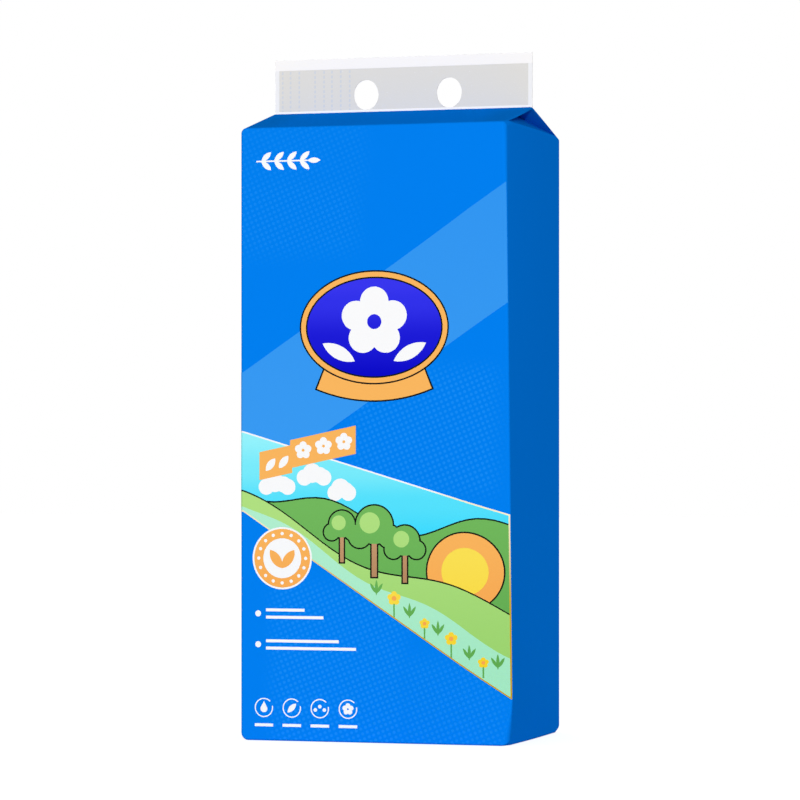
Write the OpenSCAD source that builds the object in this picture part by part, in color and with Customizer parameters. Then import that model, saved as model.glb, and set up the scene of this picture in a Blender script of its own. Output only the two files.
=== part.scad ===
// A hanging pack of tissues: a gusseted film bag sealed round a stack of folded tissues,
// with a translucent strip welded into its gable that has two oval holes for hooks.
// The pack stands on z = 0 with its printed front towards -y.

/* [Pack] */
// Width of the pack across its front
pack_w = 125; // [116:1:140]
// Depth of the pack from front to back
pack_d = 88.3; // [76:0.1:100]
// Height of the pack up to its shoulders
pack_h = 273.8; // [262:0.1:320]
// Rise of the gable from the shoulders to the ridge
roof_rise = 10; // [7:0.5:18]
// Radius of the edges all round
side_r = 1.2; // [0.8:0.1:2.4]
// Radius of the front's upper corners
shoulder_r = 2.4; // [2.4:0.1:6]
// Radius of the back's upper corners
back_r = 1.6; // [1.2:0.1:6]
// Radius of the lower corners of the front and the back
foot_r = 3.4; // [2.5:0.1:6]
// Depth over which the edges along the sides turn into those rounder corners
blend_d = 7; // [4:0.5:18]

/* [Gable ends] */
// How far each end of the gable is tucked in under the ridge
tuck_depth = 14.3; // [8:0.1:24]
// Thickness of the folded film over a tuck
fold_t = 0.8; // [0.5:0.1:1.4]

/* [Back seam] */
// Width of the lap where the film is joined down the back
seam_w = 11; // [6:0.5:16]
// Thickness of that lap
seam_t = 0.3; // [0.2:0.05:0.6]

/* [Tear-out opening under the base] */
// Length of the perforated outline
opening_l = 72; // [50:1:84]
// Width of the perforated outline
opening_w = 26; // [16:1:40]
// Length of one slit of the perforation
slit_l = 2.6; // [1.5:0.1:3]
// Width of one slit
slit_w = 0.5; // [0.3:0.1:0.9]
// Depth of the slits
slit_depth = 0.3; // [0.2:0.1:0.8]
// Number of slits round the outline
slit_count = 40; // [30:1:42]

/* [Hanging strip] */
// Height of the strip above the ridge
strip_h = 24.7; // [22:0.1:34]
// How far the strip stops short of the pack's width at each end
strip_inset = 1.65; // [0:0.05:3]
// Thickness of the strip
strip_t = 0.5; // [0.4:0.1:1]
// Depth of the tongue that is welded into the ridge
weld_h = 3.5; // [2:0.1:5]
// Gap between the end of the weld and a tuck
weld_gap = 3; // [1:0.5:8]
// Width of the white welded margin at each end of the strip
margin_side = 1.9; // [1:0.1:4]
// Width of the welded margin along the top
margin_top = 4.8; // [2:0.1:6]
// Width of the welded margin along the bottom
margin_bottom = 1; // [0.5:0.1:2]
// How far the grey field is sunk into each face between the margins
field_depth = 0.1; // [0.05:0.01:0.15]

/* [Hook holes] */
// Width of a hole
hole_w = 11.7; // [8:0.1:16]
// Height of a hole
hole_h = 13.6; // [8:0.1:15]
// Distance between the centres of the two holes
hole_pitch = 39.3; // [30:0.1:60]
// Distance of the pair to the right of the middle of the strip
hole_shift = 2.4; // [-5:0.1:5]
// Gap between the ridge and the bottom of a hole
hole_gap = 1; // [0.6:0.1:3]

/* [Print] */
// Thickness of the ink
ink_t = 0.1; // [0.05:0.01:0.2]
// Width of the dark outlines
line_w = 0.7; // [0.5:0.1:1.2]
// Height of the light band's upper edge at the left side of the front
band_z = 163.7; // [150:0.1:180]
// Height of the light band itself, measured straight up
band_h = 53; // [30:1:60]
// Rise of the light band for each millimetre across
band_slope = 0.675; // [0.4:0.005:0.7]

/* [Printed picture] */
// Height of the picture's upper left corner
window_z = 138.6; // [125:0.1:150]
// Height of the picture at the left side
window_left_h = 35.6; // [25:0.1:50]
// Fall of the picture's upper edge for each millimetre across
window_top_fall = 0.3; // [0.1:0.01:0.4]
// Fall of its lower edge for each millimetre across
window_foot_fall = 0.6675; // [0.5:0.0025:0.7]
// Width of the rules along its edges
rule_w = 0.7; // [0.5:0.1:2]
// Radius of the sun
sun_r = 17; // [12:0.5:20]
// Radius of the largest tree's crown
crown_r = 8.5; // [6:0.5:11]
// Height of the trunks
trunk_h = 13; // [8:0.5:18]
// Width of the trunks
trunk_w = 2.4; // [1.5:0.1:4]
// Radius of the clouds' puffs
puff_r = 3.6; // [2:0.1:4.5]
// Radius of the largest flower in the meadow
bloom_r = 3.2; // [2:0.1:4]
// Length of the middle leaf in a tuft of grass
grass_l = 7; // [4:0.5:8]

/* [Printed label and badge] */
// Height of the middle of the oval label
oval_z = 184; // [178:1:200]
// Width of the oval label
oval_w = 69.4; // [60:0.1:90]
// Height of the oval label
oval_h = 50.6; // [46:0.1:60]
// Width of its rim
oval_rim = 2.2; // [1:0.1:4]
// Radius of one petal of the flower in the oval
petal_r = 6.6; // [3:0.1:7]
// Width of the curved ribbon under the oval
ribbon_w = 9; // [6:0.5:12]
// Radius of the ribbon's upper edge
ribbon_r = 62; // [50:1:90]
// Angle that the ribbon spans
ribbon_angle = 44; // [20:1:56]
// Distance of the round badge's centre from the left side
badge_x = 19.6; // [17:0.1:24]
// Height of the badge's centre
badge_z = 81.5; // [76:0.5:88]
// Radius of the badge
badge_r = 13.9; // [10:0.1:15]
// Width of the badge's coloured ring, with its white rim
badge_ring = 5; // [3:0.1:6]
// Width of that rim
badge_rim = 0.8; // [0.5:0.1:1.2]
// Number of dots on the ring
badge_dots = 16; // [8:1:18]

/* [Printed slanted labels] */
// Distance of the small label from the left side
label_x = 8.9; // [6:0.1:14]
// Height of the small label's lower left corner
label_z = 116.3; // [114:0.1:119]
// Height of both labels
label_h = 12.5; // [10:0.1:14]
// Width of the small label
small_label_w = 15.4; // [13:0.1:18]
// Width of the large label
large_label_w = 30.6; // [26:0.1:34]
// Distance that the large label overlaps the small one, and stands above it
label_lap = 1; // [0.5:0.1:2]
// Rise of the labels for each millimetre across
label_slope = 0.21; // [0.1:0.01:0.25]

/* [Printed sprig] */
// Distance of the sprig from the left side
sprig_x = 7.5; // [5:0.5:15]
// Height of the sprig's stem
sprig_z = 258.6; // [252:0.1:262]
// Length of the stem
sprig_l = 24; // [16:0.5:36]
// Thickness of the stem
stem_w = 0.7; // [0.5:0.1:1]

/* [Printed marks] */
// Distance of the first round mark's centre from the left side
mark_x = 11; // [7:0.1:16]
// Radius of the four round marks along the foot
mark_r = 4.3; // [3:0.1:5]
// Distance between the centres of those marks
mark_pitch = 13.1; // [11:0.1:15]
// Height of their centres
mark_z = 14.8; // [13.5:0.1:17]
// Width of the line that draws them
mark_line = 0.5; // [0.4:0.1:0.9]
// Angle of the gap in their rings
mark_gap = 32; // [10:1:60]
// Height of the plain bars beside the bullets and under the marks
bar_h = 1.3; // [0.6:0.1:1.8]
// Length of the longest bar
bar_l = 42; // [30:1:50]
// Distance of the bars from the bullets' centres
bar_gap = 3.7; // [3:0.1:5]
// Radius of the bullets
bullet_r = 1.35; // [0.8:0.05:2]
// Distance of the bullets' centres from the left side
bullet_x = 8.3; // [6:0.1:12]
// Height of the lower bullet
bullet_z = 43; // [38:0.5:48]
// Distance between the two bullets
bullet_pitch = 13.8; // [8:0.1:16]

/* [Hidden] */

curve_fn = 72;      // facets of the printed circles
hull_fn = 32;       // facets of the rounded corners
past = 1;           // how far a cut runs past the face that it opens
ridge_z = pack_h + roof_rise;
strip_len = pack_w - 2 * strip_inset;
weld_len = pack_w - 2 * (tuck_depth + weld_gap);
ridge_t = strip_t + 2 * fold_t;
hole_z = ridge_z + hole_gap + hole_h / 2;
panel_w = pack_w - 2 * side_r;
left_x = -pack_w / 2;
badge_at = [left_x + badge_x, badge_z];
badge_in_r = badge_r - badge_ring;
small_label_at = [left_x + label_x, label_z];
large_label_at = small_label_at + [small_label_w - label_lap,
                                   label_slope * (small_label_w - label_lap) + 2.3 * label_lap];
sun_x = pack_w / 2 - 1.24 * sun_r;
sun_at = [sun_x, near_hill(sun_x) + 0.5 * sun_r];

// Where things stand in the picture: a share of the width across, and a share of the picture's height
// above its lower edge, then their sizes beside the largest of their kind
trees = [[0.38, 0.7], [0.5, 1], [0.613, 0.78]];
clouds = [[0.097, 0.46, 2.8], [0.24, 0.74, 2.5], [0.355, 0.72, 1.7]];
blooms = [[0.573, 0.145, 1], [0.685, 0.11, 0.75], [0.782, 0.125, 0.94], [0.895, 0.105, 0.75]];
tufts = [[0.508, 0.08], [0.63, 0.075], [0.734, 0.085], [0.847, 0.065], [0.944, 0.115]];

// The print from the bottom layer to the top one: the ink of each, and what it draws
layers = [["light_blue", "band"], ["gold", "gold_ground"], ["white", "white_ground"],
          ["sky_blue", "view"], ["white", "clouds"],
          ["black", "far_hill_line"], ["dark_green", "far_hill"], ["black", "sun_line"],
          ["orange", "sun"], ["yellow", "sun_middle"], ["black", "near_hill_line"],
          ["light_green", "near_hill"], ["black", "tree_lines"], ["brown", "trunks"],
          ["dark_green", "crowns"], ["light_green", "crown_lights"], ["mint", "meadow"],
          ["dark_green", "grass"], ["yellow", "petals"], ["orange", "flower_eyes"],
          ["black", "ribbon_line"], ["orange", "ribbon"], ["black", "oval_line"], ["orange", "oval_rim"],
          ["black", "inner_line"], ["deep_blue", "oval_field"], ["white", "oval_flower"],
          ["orange", "labels"], ["white", "label_marks"], ["white", "badge"],
          ["orange", "badge_ring"], ["white", "badge_middle"], ["orange", "badge_leaf"],
          ["white", "corner_sprig"], ["white", "bullets"], ["white", "marks"]];

// Height of the picture's two slanting edges, and of its hills, at x across the front
function window_top(x) = window_z - window_top_fall * (x - left_x);
function window_foot(x) = window_z - window_left_h - window_foot_fall * (x - left_x);
function window_at(x, share) = window_foot(x) + share * (window_top(x) - window_foot(x));
function wave(x, waves, start) = sin(360 * waves * x / pack_w + start);
function across_share(x) = (x - left_x) / pack_w;
function far_hill(x) = window_at(x, 0.34 + 0.58 * across_share(x)) + 0.04 * pack_w * wave(x, 1.8, 200);
function near_hill(x) = window_at(x, 0.16 + 0.3 * across_share(x)) + 0.032 * pack_w * wave(x, 1.4, -60);
function meadow(x) = window_at(x, 0.1 + 0.15 * across_share(x)) + 0.02 * pack_w * wave(x, 1.9, -60);
function in_picture(at) = let (x = left_x + at[0] * pack_w) [x, window_at(x, at[1])];
function on_hill(at) = let (x = left_x + at[0] * pack_w) [x, near_hill(x)];

// Points across the whole front, about 4 mm apart, each at its height on a curve
steps = ceil(pack_w / 4);
function across() = [for (k = [0 : steps]) left_x + pack_w * k / steps];
function reversed(points) = [for (k = [len(points) - 1 : -1 : 0]) points[k]];

// The solids of the pack and its strip

// A disc on edge, in the plane of the front, whose rim is as round as the pack's edges
module corner_disc(r) {
    rotate([90, 0, 0])
        rotate_extrude($fn = hull_fn)
            intersection() {
                union() {
                    translate([r - side_r, 0]) circle(side_r, $fn = hull_fn);
                    translate([0, -side_r]) square([r - side_r, 2 * side_r]);
                }
                translate([0, -side_r]) square([r, 2 * side_r]);
            }
}

// The full bag with its gable, before the ends of the gable are tucked in
module filled_bag() {
    hull() {
        for (x = [-1, 1], y = [-1, 1]) {
            upper_r = y < 0 ? shoulder_r : max(back_r, side_r);
            translate([x * (pack_w / 2 - foot_r), y * (pack_d / 2 - side_r), foot_r]) corner_disc(foot_r);
            translate([x * (pack_w / 2 - upper_r), y * (pack_d / 2 - side_r), pack_h - upper_r])
                corner_disc(upper_r);
        }
        for (x = [-1, 1], z = [side_r, pack_h - side_r])
            translate([x * (pack_w / 2 - side_r), 0, z])
                rotate([90, 0, 0])
                    cylinder(h = pack_d - 2 * blend_d, r = side_r, center = true, $fn = hull_fn);
        translate([-strip_len / 2, -ridge_t / 2, ridge_z - fold_t]) cube([strip_len, ridge_t, fold_t]);
    }
}

// The space in one end of the gable where the film is folded inwards
module tuck() {
    half = pack_d / 2 * (1 - fold_t / roof_rise);
    slope = (roof_rise - fold_t) / tuck_depth;
    out = pack_w / 2 + past;
    low = pack_h - past * slope;
    polyhedron(
        points = [[out, -half, low], [out, half, low], [out, half, pack_h], [out, -half, pack_h],
                  [out, 0, ridge_z - fold_t], [pack_w / 2, -half, pack_h], [pack_w / 2, half, pack_h],
                  [pack_w / 2 - tuck_depth, 0, ridge_z - fold_t]],
        faces = [[3, 4, 2, 1, 0], [6, 5, 0, 1], [7, 5, 6], [5, 3, 0], [2, 6, 1],
                 [5, 7, 4, 3], [4, 7, 6, 2]]);
}

// The lap of film down the back and up the back slope of the gable, to just short of the ridge
module back_seam() {
    fall = roof_rise / (pack_d / 2 - side_r - ridge_t / 2);
    rotate([90, 0, 90])
        translate([0, 0, -seam_w / 2])
            linear_extrude(seam_w)
                polygon([[pack_d / 2 - side_r, 2 * foot_r], [pack_d / 2 + seam_t, 2 * foot_r],
                         [pack_d / 2 + seam_t, pack_h - side_r / 2],
                         [pack_d / 2 - side_r / 2, pack_h + seam_t],
                         [ridge_t, ridge_z - ridge_t / 2 * fall + seam_t], [ridge_t, pack_h]]);
}

// A point and a direction at a share of the way round the tear-out outline
function outline_place(share) =
    let (r = opening_w / 2, run = opening_l - opening_w, turn = 180 * r * PI / 180,
         along = share * 2 * (run + turn))
    along < run ? [along - run / 2, -r, 0]
    : along < run + turn
        ? let (a = (along - run) / turn * 180 - 90) [run / 2 + r * cos(a), r * sin(a), a + 90]
    : along < 2 * run + turn ? [run / 2 - (along - run - turn), r, 180]
    : let (a = (along - 2 * run - turn) / turn * 180 + 90) [-run / 2 + r * cos(a), r * sin(a), a + 90];

module tear_out_slits() {
    for (k = [0 : slit_count - 1]) {
        place = outline_place((k + 0.5) / slit_count);
        translate([place[0], place[1], -past])
            rotate(place[2])
                translate([-slit_l / 2, -slit_w / 2, 0]) cube([slit_l, slit_w, slit_depth + past]);
    }
}

module sealed_pack() {
    color("#0280f1")
        difference() {
            union() {
                filled_bag();
                back_seam();
            }
            for (side = [0, 1]) mirror([side, 0, 0]) tuck();
            translate([-weld_len / 2, -strip_t / 2, ridge_z - weld_h])
                cube([weld_len, strip_t, weld_h + past]);
            tear_out_slits();
        }
}

module hook_hole() {
    rotate([90, 0, 0])
        linear_extrude(strip_t + 2 * past, center = true)
            scale([hole_w / hole_h, 1]) circle(d = hole_h, $fn = curve_fn);
}

// The sunk field between the welded margins, on the side that faces +y
module grey_field() {
    translate([-strip_len / 2 + margin_side, strip_t / 2 - field_depth, ridge_z + margin_bottom])
        cube([strip_len - 2 * margin_side, field_depth + past, strip_h - margin_bottom - margin_top]);
}

module hanging_strip() {
    color("gainsboro")
        difference() {
            union() {
                translate([-strip_len / 2, -strip_t / 2, ridge_z]) cube([strip_len, strip_t, strip_h]);
                translate([-weld_len / 2, -strip_t / 2, ridge_z - weld_h]) cube([weld_len, strip_t, weld_h]);
            }
            for (side = [0, 1]) mirror([0, side, 0]) grey_field();
            for (side = [-1, 1])
                translate([hole_shift + side * hole_pitch / 2, 0, hole_z]) hook_hole();
        }
}

// Shapes for the print, as flat drawings with x across the front and y for height

module disc(at, r) {
    translate(at) circle(r, $fn = curve_fn);
}

// A ring with a gap in it, from the angle given
module open_ring(at, r, w, from, gap) {
    difference() {
        disc(at, r);
        disc(at, r - w);
        translate(at) polygon([[0, 0], for (a = [from, from + gap]) 2 * r * [cos(a), sin(a)]]);
    }
}

module bar(at, length, h = bar_h) {
    translate([at[0], at[1] - h / 2]) square([length, h]);
}

// A pointed leaf whose stalk is at a point, and which grows away at an angle
module leaf(at, angle, length, w) {
    bow = (length * length + w * w) / (4 * w);
    translate(at) rotate(angle) translate([length / 2, 0])
        intersection() {
            translate([0, bow - w / 2]) circle(bow, $fn = 2 * curve_fn);
            translate([0, w / 2 - bow]) circle(bow, $fn = 2 * curve_fn);
        }
}

module flower(at, r, turn = 90) {
    for (k = [0 : 4])
        translate(at) rotate(turn + 72 * k) translate([1.35 * r, 0]) circle(r, $fn = curve_fn);
}

module oval(smaller = 0) {
    w = oval_w - 2 * smaller;
    h = oval_h - 2 * smaller;
    translate([0, oval_z]) scale([w / h, 1]) circle(d = h, $fn = curve_fn);
}

// A band bent round a point above it, with its two ends cut square
module bent_band(more = 0) {
    foot_z = oval_z - oval_h / 2 - ribbon_w + 2;
    turn = ribbon_angle / 2 + more / ribbon_r * 180 / PI;
    end = 2 * ribbon_r * [sin(turn), -cos(turn)];
    translate([0, foot_z + ribbon_w + ribbon_r])
        intersection() {
            difference() {
                circle(ribbon_r + ribbon_w + more, $fn = 4 * curve_fn);
                circle(ribbon_r - more, $fn = 4 * curve_fn);
            }
            polygon([[0, 0], [-end[0], end[1]], end]);
        }
}

// The area across the whole picture between two heights at its left side, with the slopes given
module slanted(foot, foot_fall, head, head_fall) {
    polygon([[left_x, foot], [-left_x, foot - foot_fall * pack_w],
             [-left_x, head - head_fall * pack_w], [left_x, head]]);
}

// The ground of the gold rules and that of the white one, which overlap under the view
module gold_ground() {
    slanted(window_z - window_left_h, window_foot_fall, window_z - 1.5 * rule_w, window_top_fall);
}

module white_ground() {
    slanted(window_z - 2 * rule_w, window_top_fall, window_z, window_top_fall);
}

// What shows inside the rules
module view() {
    right_x = panel_w / 2 - rule_w;
    polygon([[left_x, window_foot(left_x) + rule_w], [right_x, window_foot(right_x) + rule_w],
             [right_x, window_top(right_x) - rule_w], [left_x, window_top(left_x) - rule_w]]);
}

// The ground inside the picture below a curve, given as its points from left to right
module ground(curve) {
    intersection() {
        polygon(concat([[left_x, 0], [-left_x, 0]], reversed(curve)));
        view();
    }
}

module crown(tree, more = 0) {
    r = crown_r * tree[1];
    middle = on_hill(tree) + [0, trunk_h * tree[1] + 0.9 * r];
    disc(middle, r + more);
    for (side = [-1, 1]) disc(middle + [0.8 * side * r, -0.6 * r], 0.6 * r + more);
}

module crown_light(tree) {
    r = crown_r * tree[1];
    disc(on_hill(tree) + [-0.25 * r, trunk_h * tree[1] + r], 0.55 * r);
}

module trunk(tree, more = 0) {
    w = trunk_w * tree[1] + 2 * more;
    sunk = trunk_w + more;
    translate(on_hill(tree) - [w / 2, sunk]) square([w, trunk_h * tree[1] + more + sunk]);
}

// A cloud of four puffs, as many radii long as its third value says
module cloud(c) {
    at = in_picture(c);
    for (puff = [[0, 0, 1], [c[2], 0, 1], [0.4 * c[2], 0.55, 1.2], [0.8 * c[2], 0.3, 1]])
        disc(at + puff_r * [puff[0], puff[1]], puff_r * puff[2]);
}

// A tuft of grass: two leaves that grow out of a middle one a little above its stalk
module tuft(at) {
    stalk = in_picture(at);
    leaf(stalk, 90, grass_l, 0.2 * grass_l);
    for (side = [-1, 1])
        leaf(stalk + [0, 0.12 * grass_l], 90 + 32 * side, 0.78 * grass_l, 0.2 * grass_l);
}

module bloom_stem(b) {
    half = 1.4 * bloom_r * b[2];
    bar(in_picture(b) - [stem_w / 2, half], stem_w, 2 * half);
}

// A sprig of leaves in pairs along a straight stem
module sprig(at, length) {
    pairs = 4;
    step = length / pairs;
    bar(at, length, stem_w);
    for (k = [1 : pairs], side = [-1, 1])
        leaf(at + [step * (k - 0.6), 0], side * 42, step, 0.4 * step);
    leaf(at + [length, 0], 0, step, 0.4 * step);
}

// A slanted label, from its lower left corner
module label(at, w) {
    polygon([at, at + [w, label_slope * w], at + [w, label_slope * w + label_h], at + [0, label_h]]);
}

// Four round marks: a drop, a leaf, three dots and a little flower
module marks() {
    places = [for (k = [0 : 3]) [left_x + mark_x + k * mark_pitch, mark_z]];
    for (at = places) {
        open_ring(at, mark_r, mark_line, 12, mark_gap);
        bar(at - [mark_r, 1.8 * mark_r], 2 * mark_r);
    }
    disc(places[0] - [0, 0.12 * mark_r], 0.37 * mark_r);
    translate(places[0]) polygon(mark_r * [[-0.32, 0.07], [0.32, 0.07], [0, 0.67]]);
    leaf(places[1] - mark_r * [0.46, 0.46], 45, 1.3 * mark_r, 0.56 * mark_r);
    for (k = [-1 : 1]) disc(places[2] + mark_r * [0.49 * k, k == 0 ? 0.21 : -0.14], 0.19 * mark_r);
    flower(places[3], 0.26 * mark_r);
}

// Two bullets, each with two plain bars beside it, at shares of the longest bar
module bullets() {
    for (row = [[1, 0.43, 0.64], [0, 0.81, 1]]) {
        at = [left_x + bullet_x, bullet_z + row[0] * bullet_pitch];
        disc(at, bullet_r);
        for (line = [0, 1])
            bar(at + [bar_gap, (line == 0 ? 1.25 : -1.25) * bar_h], row[1 + line] * bar_l);
    }
}

module shape(name) {
    if (name == "band") slanted(band_z - band_h, -band_slope, band_z, -band_slope);
    else if (name == "gold_ground") gold_ground();
    else if (name == "white_ground") white_ground();
    else if (name == "view") view();
    else if (name == "clouds") intersection() {
        for (c = clouds) cloud(c);
        view();
    }
    else if (name == "far_hill_line") ground([for (x = across()) [x, far_hill(x) + line_w]]);
    else if (name == "far_hill") ground([for (x = across()) [x, far_hill(x)]]);
    else if (name == "sun_line") intersection() { disc(sun_at, sun_r + line_w); view(); }
    else if (name == "sun") intersection() { disc(sun_at, sun_r); view(); }
    else if (name == "sun_middle") disc(sun_at, 0.62 * sun_r);
    else if (name == "near_hill_line") ground([for (x = across()) [x, near_hill(x) + line_w]]);
    else if (name == "near_hill") ground([for (x = across()) [x, near_hill(x)]]);
    else if (name == "tree_lines") intersection() {
        for (t = trees) { trunk(t, line_w); crown(t, line_w); }
        view();
    }
    else if (name == "trunks") for (t = trees) trunk(t);
    else if (name == "crowns") intersection() { for (t = trees) crown(t); view(); }
    else if (name == "crown_lights") intersection() { for (t = trees) crown_light(t); view(); }
    else if (name == "meadow") ground([for (x = across()) [x, meadow(x)]]);
    else if (name == "grass") intersection() {
        union() {
            for (t = tufts) tuft(t);
            for (b = blooms) bloom_stem(b);
        }
        view();
    }
    else if (name == "petals") for (b = blooms) flower(in_picture(b), 0.42 * bloom_r * b[2]);
    else if (name == "flower_eyes") for (b = blooms) disc(in_picture(b), 0.34 * bloom_r * b[2]);
    else if (name == "ribbon_line") bent_band(line_w);
    else if (name == "ribbon") bent_band();
    else if (name == "oval_line") oval();
    else if (name == "oval_rim") oval(line_w);
    else if (name == "inner_line") oval(line_w + oval_rim);
    else if (name == "oval_field") oval(2 * line_w + oval_rim);
    else if (name == "oval_flower") {
        middle = [0, oval_z + 0.38 * petal_r];
        difference() {
            flower(middle, petal_r);
            disc(middle, 0.5 * petal_r);
        }
        for (side = [0, 1])
            mirror([side, 0]) leaf(middle + petal_r * [1.36, -2.65], 28, 2.58 * petal_r, 0.91 * petal_r);
    }
    else if (name == "labels") {
        label(small_label_at, small_label_w);
        label(large_label_at, large_label_w);
    }
    else if (name == "label_marks") {
        for (k = [0, 1])
            leaf(small_label_at + [(0.2 + 0.4 * k) * small_label_w, (0.33 + 0.1 * k) * label_h],
                 52, 0.56 * label_h, 0.26 * label_h);
        for (k = [0 : 2])
            flower(large_label_at + [(0.2 + 0.31 * k) * large_label_w, (0.64 + 0.15 * k) * label_h],
                   0.135 * label_h);
    }
    else if (name == "badge") disc(badge_at, badge_r);
    else if (name == "badge_ring") disc(badge_at, badge_r - badge_rim);
    else if (name == "badge_middle") {
        disc(badge_at, badge_in_r);
        for (k = [1 : badge_dots])
            translate(badge_at) rotate(360 * k / badge_dots)
                disc([badge_r - (badge_ring + badge_rim) / 2, 0], 0.18 * (badge_ring - badge_rim));
    }
    else if (name == "badge_leaf") for (side = [0, 1])
        translate(badge_at) mirror([side, 0])
            leaf([0, -badge_in_r / 2], 55, 1.12 * badge_in_r, 0.49 * badge_in_r);
    else if (name == "corner_sprig") sprig([left_x + sprig_x, sprig_z], sprig_l);
    else if (name == "bullets") bullets();
    else if (name == "marks") marks();
}

// Everything printed in one ink on the front of the pack, less what is printed over it
module print(ink) {
    last = len(layers) - 1;
    translate([0, -pack_d / 2, 0])
        rotate([90, 0, 0])
            linear_extrude(ink_t)
                intersection() {
                    union() for (k = [0 : last]) if (layers[k][0] == ink)
                        difference() {
                            shape(layers[k][1]);
                            if (k < last) for (over = [k + 1 : last]) shape(layers[over][1]);
                        }
                    translate([-panel_w / 2, foot_r]) square([panel_w, pack_h - foot_r - shoulder_r]);
                }
}

module print_light_blue() { color("#3598f3") print("light_blue"); }
module print_sky_blue() { color("#6ce9ff") print("sky_blue"); }
module print_dark_green() { color("#6fb55b") print("dark_green"); }
module print_light_green() { color("#a5dc78") print("light_green"); }
module print_mint() { color("#a5ebc8") print("mint"); }
module print_brown() { color("#be9164") print("brown"); }
module print_gold() { color("#caa324") print("gold"); }
module print_yellow() { color("#fbdc3c") print("yellow"); }
module print_orange() { color("#fcb860") print("orange"); }
module print_deep_blue() { color("#1b17d6") print("deep_blue"); }
module print_white() { color("white") print("white"); }
module print_black() { color("#1c2420") print("black"); }

sealed_pack();
hanging_strip();
print_light_blue();
print_sky_blue();
print_dark_green();
print_light_green();
print_mint();
print_brown();
print_gold();
print_yellow();
print_orange();
print_deep_blue();
print_white();
print_black();
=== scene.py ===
from math import pi, radians

import bmesh
import bpy
from mathutils import Matrix, Vector


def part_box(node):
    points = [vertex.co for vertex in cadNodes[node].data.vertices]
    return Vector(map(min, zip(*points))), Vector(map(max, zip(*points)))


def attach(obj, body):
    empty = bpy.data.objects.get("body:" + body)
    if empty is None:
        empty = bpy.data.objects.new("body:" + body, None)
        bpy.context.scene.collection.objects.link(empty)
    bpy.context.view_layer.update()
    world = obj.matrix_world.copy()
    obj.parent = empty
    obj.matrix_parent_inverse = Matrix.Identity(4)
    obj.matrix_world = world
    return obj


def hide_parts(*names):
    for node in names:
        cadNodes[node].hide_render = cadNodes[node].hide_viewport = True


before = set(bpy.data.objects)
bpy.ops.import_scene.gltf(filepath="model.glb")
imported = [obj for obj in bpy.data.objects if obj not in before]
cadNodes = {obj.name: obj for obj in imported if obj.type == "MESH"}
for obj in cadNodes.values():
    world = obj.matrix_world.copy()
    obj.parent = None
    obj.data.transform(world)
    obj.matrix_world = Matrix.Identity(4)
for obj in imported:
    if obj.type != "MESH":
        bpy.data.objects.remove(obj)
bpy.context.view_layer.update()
packLow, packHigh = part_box("sealed_pack")
stripLow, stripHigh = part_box("hanging_strip")
mm = 0.001
print("frame loaded:", len(cadNodes), "nodes")


# Camera: level, at nearly half the pack's height, to the right of its front
cameraSet = dict(place=(0.460, -1.555, 0.1255), look=(-0.28437, 0.95871, 0), lens=160.64, sensor=36,
                 rise=0.0744, far=50)

def addCamera():
    data = bpy.data.cameras.new("camera")
    data.lens = cameraSet["lens"]
    data.sensor_width = cameraSet["sensor"]
    data.sensor_fit = "HORIZONTAL"
    data.shift_y = cameraSet["rise"]
    data.clip_end = cameraSet["far"]
    camera = bpy.data.objects.new("camera", data)
    camera.location = cameraSet["place"]
    camera.rotation_euler = Vector(cameraSet["look"]).to_track_quat("-Z", "Y").to_euler()
    bpy.context.scene.collection.objects.link(camera)
    bpy.context.scene.camera = camera


# Shader helpers
def colourOf(red, green, blue):
    # a colour as it is read from a screen, 0 to 255, made linear
    shares = [channel / 255 for channel in (red, green, blue)]
    return tuple(s / 12.92 if s <= 0.04045 else ((s + 0.055) / 1.055) ** 2.4 for s in shares) + (1,)

def newMaterial(name, colour, roughness, specular):
    material = bpy.data.materials.new(name)
    material.use_nodes = True
    shader = material.node_tree.nodes["Principled BSDF"]
    shader.inputs["Base Color"].default_value = colourOf(*colour)
    shader.inputs["Roughness"].default_value = roughness
    shader.inputs["Specular IOR Level"].default_value = specular
    return material, material.node_tree, shader

def feed(tree, socket, value):
    if isinstance(value, bpy.types.NodeSocket):
        tree.links.new(value, socket)
    else:
        socket.default_value = value

def math(tree, operation, first, second=0.0):
    node = tree.nodes.new("ShaderNodeMath")
    node.operation = operation
    feed(tree, node.inputs[0], first)
    feed(tree, node.inputs[1], second)
    return node.outputs[0]

def placeOf(tree):
    # where a point of the object is, in metres, as three sockets
    place = tree.nodes.new("ShaderNodeTexCoord").outputs["Object"]
    split = tree.nodes.new("ShaderNodeSeparateXYZ")
    tree.links.new(place, split.inputs[0])
    return place, split.outputs["X"], split.outputs["Y"], split.outputs["Z"]

def rise(tree, value, start, end, low=0.0, high=1.0):
    # from low at start to high at end, with soft ends
    node = tree.nodes.new("ShaderNodeMapRange")
    node.interpolation_type = "SMOOTHSTEP"
    feed(tree, node.inputs["Value"], value)
    for name, number in (("From Min", start), ("From Max", end), ("To Min", low), ("To Max", high)):
        node.inputs[name].default_value = number
    return node.outputs[0]

def within(tree, value, low, high, soft):
    # 1 between low and high, and 0 past them
    up = rise(tree, value, low - soft / 2, low + soft / 2)
    down = rise(tree, value, high - soft / 2, high + soft / 2, 1.0, 0.0)
    return math(tree, "MULTIPLY", up, down)

def mixed(tree, share, first, second):
    node = tree.nodes.new("ShaderNodeMix")
    node.data_type = "RGBA"
    feed(tree, node.inputs["Factor"], share)
    feed(tree, node.inputs["A"], first)
    feed(tree, node.inputs["B"], second)
    return node.outputs["Result"]

def speckle(tree, place, size, detail=3.0):
    node = tree.nodes.new("ShaderNodeTexNoise")
    node.inputs["Scale"].default_value = 1 / size
    node.inputs["Detail"].default_value = detail
    tree.links.new(place, node.inputs["Vector"])
    return node.outputs["Fac"]

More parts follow.
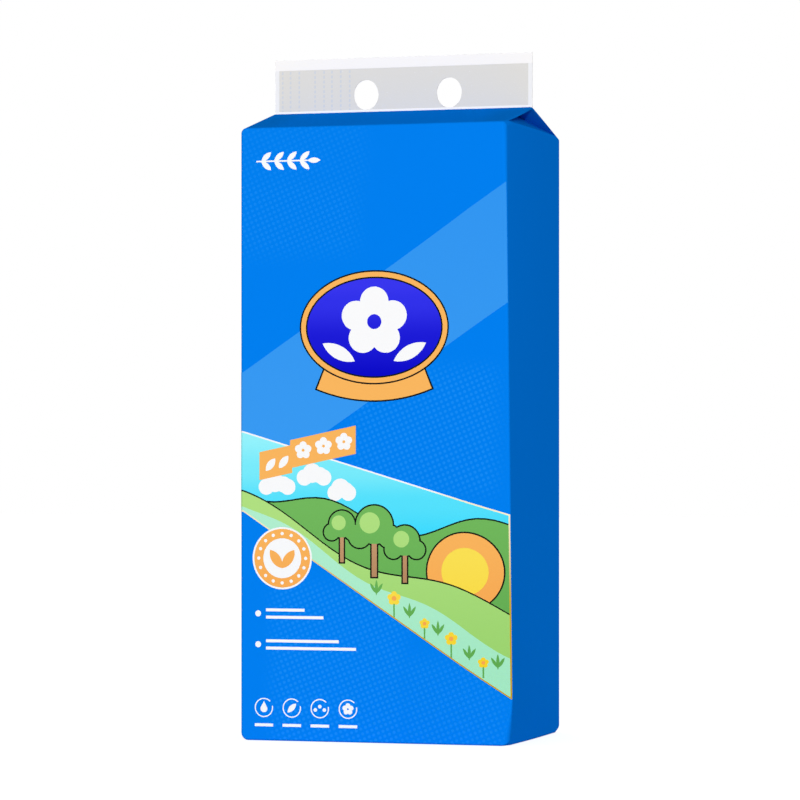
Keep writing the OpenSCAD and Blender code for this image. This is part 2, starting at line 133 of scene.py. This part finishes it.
def bumpOn(tree, shader, height, depth):
    # depth is the height of the bumps in metres
    node = tree.nodes.new("ShaderNodeBump")
    node.inputs["Strength"].default_value = 1.0
    node.inputs["Distance"].default_value = depth
    tree.links.new(height, node.inputs["Height"])
    tree.links.new(node.outputs["Normal"], shader.inputs["Normal"])


# How the soft film leaves the straight box: its front right edge leans out near the foot and in
# towards the shoulder, is drawn in at the foot, and is rounder towards both ends
lean = dict(footZ=25 * mm, topZ=269 * mm, footOut=0.6 * mm, topIn=2.3 * mm)
soft = dict(foot=3.6 * mm, footHeight=24 * mm, top=2.2 * mm, topHeight=60 * mm, width=4 * mm,
            drawnIn=1.6 * mm, drawnDepth=50 * mm)
# Steps of the new edges that let a mesh lean: wide ones, those of the foot, and those of the upright edge
steps = dict(wide=12 * mm, deep=11 * mm, foot=3 * mm, edge=0.5 * mm)
alongX, alongY, alongZ = Vector((1, 0, 0)), Vector((0, 1, 0)), Vector((0, 0, 1))

def share(value, low, high):
    # 0 at low and before it, 1 at high and past it
    return min(max((value - low) / (high - low), 0), 1)

def leaned(point):
    # how far a point is moved
    if point.x <= 0:
        return Vector((0, 0, 0))
    up = (point.z - lean["footZ"]) / (lean["topZ"] - lean["footZ"])
    out = lean["footOut"] - up * (lean["footOut"] + lean["topIn"])
    start = share(point.z, 0, lean["footZ"])
    out *= start * start * (3 - 2 * start) * share(point.y, -packLow.y, packLow.y) ** 3
    low = share(point.z, soft["footHeight"], 0)
    high = share(point.z, lean["topZ"] - soft["topHeight"], lean["topZ"])
    deep = share(point.y, packLow.y + soft["drawnDepth"], packLow.y)
    out -= soft["drawnIn"] * low ** 2 * deep ** 1.5
    moved = Vector((out * (point.x / packHigh.x) ** 2, 0, 0))
    # points outside a larger rounding of the upright edge are taken in to it
    radius = max(soft["foot"] * low, soft["top"] * high)
    limit = radius + max(packLow.y - point.y, 0)
    corner = Vector((point.x - packHigh.x + radius, point.y - packLow.y - radius, 0))
    if corner.x > 0 and corner.y < 0 and corner.length > limit:
        moved -= corner * (1 - limit / corner.length)
    return moved

def cut(mesh, axis, places):
    # new edges where the planes across an axis pass through the mesh
    for place in places:
        everything = mesh.verts[:] + mesh.edges[:] + mesh.faces[:]
        bmesh.ops.bisect_plane(mesh, geom=everything, dist=1e-7, plane_co=axis * place, plane_no=axis)

def stepped(low, high, step):
    count = round((high - low) / step)
    return [low + (high - low) * k / count for k in range(1, count)]

def cutWide(mesh):
    # what the film and the inks share: wide steps up and across, and fine ones at the right upright edge
    cut(mesh, alongZ, stepped(0, packHigh.z, steps["wide"]))
    cut(mesh, alongX, stepped(0, packHigh.x, steps["wide"]))
    cut(mesh, alongX, stepped(packHigh.x - soft["width"], packHigh.x, steps["edge"]))

def pieceFrom(nodeName, pieceName, material, shape):
    # a piece that stands for a CAD node, shaped from a copy of its mesh
    mesh = bmesh.new()
    mesh.from_mesh(cadNodes[nodeName].data)
    bmesh.ops.remove_doubles(mesh, verts=mesh.verts, dist=1e-6)
    shape(mesh)
    for vertex in mesh.verts:
        vertex.co += leaned(vertex.co)
    data = bpy.data.meshes.new(pieceName)
    mesh.to_mesh(data)
    mesh.free()
    data.materials.append(material)
    piece = bpy.data.objects.new(pieceName, data)
    bpy.context.scene.collection.objects.link(piece)
    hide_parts(nodeName)
    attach(piece, "root")
    return piece


# The film: saturated blue, with fields of fine paler dots on the front, painted shade on the roof and deeper
# painted shade in its tucks
film = dict(
    # the second and third blues are painted shade: one for the roof's folds, and a deeper one in its tucks
    blue=(2, 128, 241), roofShadeBlue=(2, 122, 232), tuckShadeBlue=(4, 118, 220), dotBlue=(22, 139, 247),
    roughness=0.46, specular=0.0,
    # edges flatter than this, in degrees, are shaded smooth
    roundBelow=28,
    # the roof's painted shade begins and is full this far below the ridge, and the tucks' deeper painted
    # shade this far from the middle
    roofShadeStart=10.2 * mm, roofShadeFull=9.2 * mm, tuckShadeStart=42 * mm, tuckShadeFull=54 * mm,
    # dots: their pitch, and their radius and its softness as shares of the pitch
    dotPitch=2.3 * mm, dotRadius=0.3, dotSoft=0.12, dotTurn=22.5,
    # how far behind the front the dots begin to fade and are gone
    dotFade=0.2 * mm, dotGone=0.6 * mm,
    # each field of dots in mm: its left and right, foot and top and softness, and its strength
    dotFields=((-66, -8, 217, 252, 16, 0.7), (-66, -4, 246, 276, 14, 0.5), (-10, 56, 110, 166, 14, 1.0),
               (-48, 14, -4, 70, 12, 1.0), (12, 60, -4, 38, 14, 0.8)),
    wrinkleSize=9 * mm, wrinkleDepth=0.05 * mm,
    # creases begin and are full this far below the ridge
    creaseSize=5 * mm, creaseDepth=0.08 * mm, creaseStart=13 * mm, creaseFull=6 * mm,
    seamWidth=11 * mm, seamSoft=1 * mm, seamPitch=1.2 * mm, seamDepth=0.12 * mm)

def dotsOn(tree, place, x, y, z):
    # 1 on a dot and 0 beside it
    turned = tree.nodes.new("ShaderNodeMapping")
    turned.inputs["Rotation"].default_value = (0, radians(film["dotTurn"]), 0)
    turned.inputs["Scale"].default_value = (1 / film["dotPitch"],) * 3
    tree.links.new(place, turned.inputs["Vector"])
    grid = tree.nodes.new("ShaderNodeSeparateXYZ")
    tree.links.new(turned.outputs[0], grid.inputs[0])
    across = math(tree, "SUBTRACT", math(tree, "FRACT", grid.outputs["X"]), 0.5)
    along = math(tree, "SUBTRACT", math(tree, "FRACT", grid.outputs["Z"]), 0.5)
    far = math(tree, "SQRT", math(tree, "ADD", math(tree, "MULTIPLY", across, across),
                                  math(tree, "MULTIPLY", along, along)))
    dot = rise(tree, far, film["dotRadius"] - film["dotSoft"], film["dotRadius"] + film["dotSoft"], 1.0, 0.0)
    fields = 0.0
    for left, right, foot, top, fade, strength in film["dotFields"]:
        field = math(tree, "MULTIPLY", within(tree, x, left * mm, right * mm, fade * mm),
                     within(tree, z, foot * mm, top * mm, fade * mm))
        fields = math(tree, "MAXIMUM", math(tree, "MULTIPLY", field, strength), fields)
    front = rise(tree, y, packLow.y + film["dotFade"], packLow.y + film["dotGone"], 1.0, 0.0)
    return math(tree, "MULTIPLY", math(tree, "MULTIPLY", dot, fields), front)

def wrinklesOn(tree, place):
    # the height of the slack film's wrinkles in metres, which the inks share
    return math(tree, "MULTIPLY", speckle(tree, place, film["wrinkleSize"]), film["wrinkleDepth"])

def filmMaterial():
    material, tree, shader = newMaterial("blue film", film["blue"], film["roughness"], film["specular"])
    place, x, y, z = placeOf(tree)
    dots = dotsOn(tree, place, x, y, z)
    colour = mixed(tree, dots, colourOf(*film["blue"]), colourOf(*film["dotBlue"]))
    # painted shade: the roof's folds under the strip are coloured a little darker, and darker still towards
    # the tucks at both ends
    roofShade = rise(tree, z, packHigh.z - film["roofShadeStart"], packHigh.z - film["roofShadeFull"])
    colour = mixed(tree, roofShade, colour, colourOf(*film["roofShadeBlue"]))
    tuckShade = rise(tree, math(tree, "ABSOLUTE", x), film["tuckShadeStart"], film["tuckShadeFull"])
    colour = mixed(tree, math(tree, "MULTIPLY", roofShade, tuckShade), colour, colourOf(*film["tuckShadeBlue"]))
    tree.links.new(colour, shader.inputs["Base Color"])
    # slack film over the tissues, more creased in the folds under the strip, and ribs along the seam
    folded = rise(tree, z, packHigh.z - film["creaseStart"], packHigh.z - film["creaseFull"])
    creases = math(tree, "MULTIPLY", speckle(tree, place, film["creaseSize"]), film["creaseDepth"])
    ribs = tree.nodes.new("ShaderNodeTexWave")
    ribs.bands_direction = "Z"
    # a scale of 1 gives waves of 2 pi / 20 m
    ribs.inputs["Scale"].default_value = 2 * pi / (20 * film["seamPitch"])
    tree.links.new(place, ribs.inputs["Vector"])
    half, fade = film["seamWidth"] / 2, film["seamSoft"]
    seam = math(tree, "MULTIPLY", within(tree, x, -half, half, fade),
                rise(tree, y, -packLow.y - fade, -packLow.y))
    ribHeight = math(tree, "MULTIPLY", math(tree, "MULTIPLY", ribs.outputs["Fac"], seam), film["seamDepth"])
    height = math(tree, "ADD", wrinklesOn(tree, place), math(tree, "MULTIPLY", creases, folded))
    bumpOn(tree, shader, math(tree, "ADD", height, ribHeight), 1.0)
    return material

def shapeFilm(mesh):
    cutWide(mesh)
    cut(mesh, alongY, stepped(packLow.y, packHigh.y, steps["deep"]))
    cut(mesh, alongY, stepped(packLow.y, packLow.y + soft["width"], steps["edge"]))
    cut(mesh, alongZ, stepped(0, soft["footHeight"], steps["foot"]))
    for face in mesh.faces:
        face.smooth = True
    for edge in mesh.edges:
        edge.smooth = edge.calc_face_angle(0) < radians(film["roundBelow"])

def addFilm():
    piece = pieceFrom("sealed_pack", "film", filmMaterial(), shapeFilm)
    evened = piece.modifiers.new("evened", "WEIGHTED_NORMAL")
    evened.keep_sharp = True


# The inks: each lies on the front and turns round its upright edges. The left turn is in degrees
inkSet = dict(edgeRadius=1.2 * mm, roughness=0.5, specular=0.0, leftTurn=80, turnSteps=5,
              drawFrom=45 * mm, drawOut=1.1 * mm, drawnEnd=1.4 * mm, drawnStep=0.2 * mm)
panelX = packHigh.x - inkSet["edgeRadius"]

# Each ink: its node, its slot, and its colours from the foot of the pack up, each at its height in metres
inks = dict(
    lightBlueInk=("print_light_blue", "ink_light_blue", ((0.11, (57, 155, 244)), (0.25, (51, 151, 243)))),
    skyInk=("print_sky_blue", "ink_sky_blue",
            ((0.09, (60, 220, 255)), (0.107, (85, 227, 254)), (0.121, (121, 237, 253)),
             (0.137, (150, 245, 254)))),
    darkGreenInk=("print_dark_green", "ink_dark_green", ((0.03, (98, 172, 82)), (0.12, (116, 186, 94)))),
    lightGreenInk=("print_light_green", "ink_light_green",
                   ((0.03, (158, 214, 112)), (0.11, (178, 226, 130)))),
    mintInk=("print_mint", "ink_mint", ((0.02, (166, 235, 196)), (0.1, (178, 240, 208)))),
    brownInk=("print_brown", "ink_brown", ((0.06, (176, 130, 92)), (0.1, (202, 158, 116)))),
    goldInk=("print_gold", "ink_gold",
             ((0.03, (204, 162, 12)), (0.06, (208, 170, 48)), (0.1, (248, 236, 196)))),
    yellowInk=("print_yellow", "ink_yellow", ((0.03, (250, 214, 44)), (0.09, (253, 226, 84)))),
    orangeInk=("print_orange", "ink_orange",
               ((0.05, (250, 170, 84)), (0.1, (252, 182, 94)), (0.16, (252, 184, 96)))),
    deepBlueInk=("print_deep_blue", "ink_deep_blue",
                 ((0.16, (10, 9, 199)), (0.178, (28, 27, 216)), (0.196, (50, 50, 236)),
                  (0.203, (57, 55, 240)))),
    whiteInk=("print_white", "ink_white", ((0.0, (250, 251, 252)), (0.27, (253, 253, 254)))),
    blackInk=("print_black", "ink_black", ((0.03, (22, 28, 22)), (0.2, (18, 24, 26)))))

# The white rule over the picture turns cream towards the right
cream = dict(ink="whiteInk", fromX=20 * mm, toX=44 * mm, colour=(255, 244, 208))

def inkMaterial(name, stops):
    material, tree, shader = newMaterial(name, stops[0][1], inkSet["roughness"], inkSet["specular"])
    place, x, _, z = placeOf(tree)
    colour = colourOf(*stops[0][1])
    for (lowZ, lowColour), (highZ, highColour) in zip(stops, stops[1:]):
        colour = mixed(tree, rise(tree, z, lowZ, highZ), colour, colourOf(*highColour))
    if name == cream["ink"]:
        colour = mixed(tree, rise(tree, x, cream["fromX"], cream["toX"]), colour, colourOf(*cream["colour"]))
    tree.links.new(colour, shader.inputs["Base Color"])
    bumpOn(tree, shader, wrinklesOn(tree, place), 1.0)
    return material

def wrapLeft(mesh):
    # carries an ink on round the pack's left upright edge
    near = 0.01 * mm
    walls = [face for face in mesh.faces if all(abs(v.co.x + panelX) < near for v in face.verts)]
    turn = Matrix.Rotation(radians(-inkSet["leftTurn"] / inkSet["turnSteps"]), 3, "Z")
    centre = Vector((-panelX, packLow.y + inkSet["edgeRadius"], 0))
    for _ in range(inkSet["turnSteps"] if walls else 0):
        grown = bmesh.ops.extrude_face_region(mesh, geom=walls)["geom"]
        walls = [part for part in grown if isinstance(part, bmesh.types.BMFace)]
        moved = [part for part in grown if isinstance(part, bmesh.types.BMVert)]
        bmesh.ops.rotate(mesh, verts=moved, cent=centre, matrix=turn)

def wrapRight(mesh):
    # draws the right end of an ink out, so that it lies round the right upright edge
    centre = Vector((panelX, packLow.y + inkSet["edgeRadius"], 0))
    cut(mesh, alongX, stepped(panelX - inkSet["drawnEnd"], panelX, inkSet["drawnStep"]))
    for vertex in mesh.verts:
        vertex.co.x += inkSet["drawOut"] * share(vertex.co.x, inkSet["drawFrom"], panelX)
        past = vertex.co.x - panelX
        if past > 0:
            vertex.co.x = panelX
            turn = Matrix.Rotation(past / inkSet["edgeRadius"], 3, "Z")
            vertex.co = turn @ (vertex.co - centre) + centre

def shapeInk(mesh):
    cutWide(mesh)
    wrapLeft(mesh)
    wrapRight(mesh)


# The strip: frosted grey film between white welded margins
strip = dict(
    field=(228, 225, 218), side=(246, 245, 244), top=(255, 252, 249), dash=(206, 213, 224),
    fleck=(244, 244, 244), roughness=0.55, specular=0.05,
    marginSide=1.9 * mm, marginTop=4.8 * mm, marginFoot=1 * mm, soft=0.2 * mm,
    # the broken lines at the left: their places in mm, and where a dash begins and ends in its pitch
    dashX=(-57.3, -53.5, -49.3, -41.7, -37.4, -33.6, -29.4, -25.1), dashWidth=0.8 * mm,
    dashPitch=2.2 * mm, dashStart=0.2, dashEnd=0.8, dashSoft=0.2, dashStrength=0.6,
    # flecks show where the grain is over these levels
    fleckStart=0.72, fleckFull=0.82, fleckSize=0.5 * mm, grainDepth=0.04 * mm)

def stripMaterial():
    material, tree, shader = newMaterial("frosted strip", strip["field"], strip["roughness"],
                                         strip["specular"])
    place, x, _, z = placeOf(tree)
    grain = speckle(tree, place, strip["fleckSize"], 1.0)
    flecks = rise(tree, grain, strip["fleckStart"], strip["fleckFull"])
    colour = mixed(tree, flecks, colourOf(*strip["field"]), colourOf(*strip["fleck"]))
    half, fade = strip["dashWidth"] / 2, strip["soft"]
    lines = 0.0
    for dashX in strip["dashX"]:
        line = within(tree, x, dashX * mm - half, dashX * mm + half, fade)
        lines = math(tree, "MAXIMUM", line, lines)
    run = math(tree, "FRACT", math(tree, "DIVIDE", z, strip["dashPitch"]))
    broken = within(tree, run, strip["dashStart"], strip["dashEnd"], strip["dashSoft"])
    dashes = math(tree, "MULTIPLY", math(tree, "MULTIPLY", lines, broken), strip["dashStrength"])
    colour = mixed(tree, dashes, colour, colourOf(*strip["dash"]))
    sideX = stripHigh.x - strip["marginSide"]
    sides = rise(tree, math(tree, "ABSOLUTE", x), sideX - fade / 2, sideX + fade / 2)
    colour = mixed(tree, sides, colour, colourOf(*strip["side"]))
    middle = within(tree, z, packHigh.z + strip["marginFoot"], stripHigh.z - strip["marginTop"], fade)
    colour = mixed(tree, middle, colourOf(*strip["top"]), colour)
    tree.links.new(colour, shader.inputs["Base Color"])
    bumpOn(tree, shader, speckle(tree, place, strip["fleckSize"]), strip["grainDepth"])
    return material

def dressStrip():
    node = cadNodes["hanging_strip"]
    node.data.materials.clear()
    node.data.materials.append(stripMaterial())


# Floor and light: a white room, a low lamp in front, a little to the right, and a weaker one behind.
# Turns, rises and spreads are in degrees, and the floor's size in metres
room = dict(floorSize=12, floorShade=0.62, floorGlow=0.8, skyLight=0.425, keyLight=2.02, keyTurn=16,
            keyRise=2.2, keySpread=3, fillLight=1.0, fillTurn=200, fillRise=5, fillSpread=40)

def backdropRays(tree):
    # 1 for what the camera sees, straight or in gloss or through glass, and 0 for what lights the pack
    seen = tree.nodes.new("ShaderNodeLightPath")
    either = math(tree, "MAXIMUM", seen.outputs["Is Camera Ray"], seen.outputs["Is Glossy Ray"])
    return math(tree, "MAXIMUM", either, seen.outputs["Is Transmission Ray"])

def addFloor():
    mesh = bmesh.new()
    bmesh.ops.create_grid(mesh, x_segments=1, y_segments=1, size=room["floorSize"] / 2)
    data = bpy.data.meshes.new("floor")
    mesh.to_mesh(data)
    mesh.free()
    floor = bpy.data.objects.new("floor", data)
    bpy.context.scene.collection.objects.link(floor)
    material = bpy.data.materials.new("pale floor")
    material.use_nodes = True
    tree = material.node_tree
    tree.nodes.clear()
    shade = tree.nodes.new("ShaderNodeBsdfDiffuse")
    shade.inputs["Color"].default_value = (room["floorShade"],) * 3 + (1,)
    glow = tree.nodes.new("ShaderNodeEmission")
    tree.links.new(math(tree, "MULTIPLY", backdropRays(tree), room["floorGlow"]), glow.inputs["Strength"])
    both = tree.nodes.new("ShaderNodeAddShader")
    tree.links.new(shade.outputs[0], both.inputs[0])
    tree.links.new(glow.outputs[0], both.inputs[1])
    end = tree.nodes.new("ShaderNodeOutputMaterial")
    tree.links.new(both.outputs[0], end.inputs["Surface"])
    data.materials.append(material)

def addSun(name, strength, turn, rise, spread):
    # turn is the side that the light comes from: 0 is straight in front, and 90 the right
    data = bpy.data.lights.new(name, "SUN")
    data.energy = strength
    data.angle = radians(spread)
    sun = bpy.data.objects.new(name, data)
    sun.rotation_euler = (radians(90 - rise), 0, radians(turn))
    bpy.context.scene.collection.objects.link(sun)

def addWorld():
    world = bpy.data.worlds.new("white room")
    world.use_nodes = True
    tree = world.node_tree
    white = math(tree, "MULTIPLY", backdropRays(tree), 1 - room["skyLight"])
    strength = math(tree, "ADD", white, room["skyLight"])
    background = tree.nodes["Background"]
    background.inputs["Color"].default_value = (1, 1, 1, 1)
    tree.links.new(strength, background.inputs["Strength"])
    bpy.context.scene.world = world


addCamera()
addFilm()
print("film made")
for inkName, (nodeName, slotName, stops) in inks.items():
    pieceFrom(nodeName, inkName, inkMaterial(inkName, stops), shapeInk)
print("inks made")
dressStrip()
addFloor()
addSun("key light", room["keyLight"], room["keyTurn"], room["keyRise"], room["keySpread"])
addSun("fill light", room["fillLight"], room["fillTurn"], room["fillRise"], room["fillSpread"])
addWorld()
bpy.context.scene.view_settings.view_transform = "Standard"
print("strip, floor and lights made")
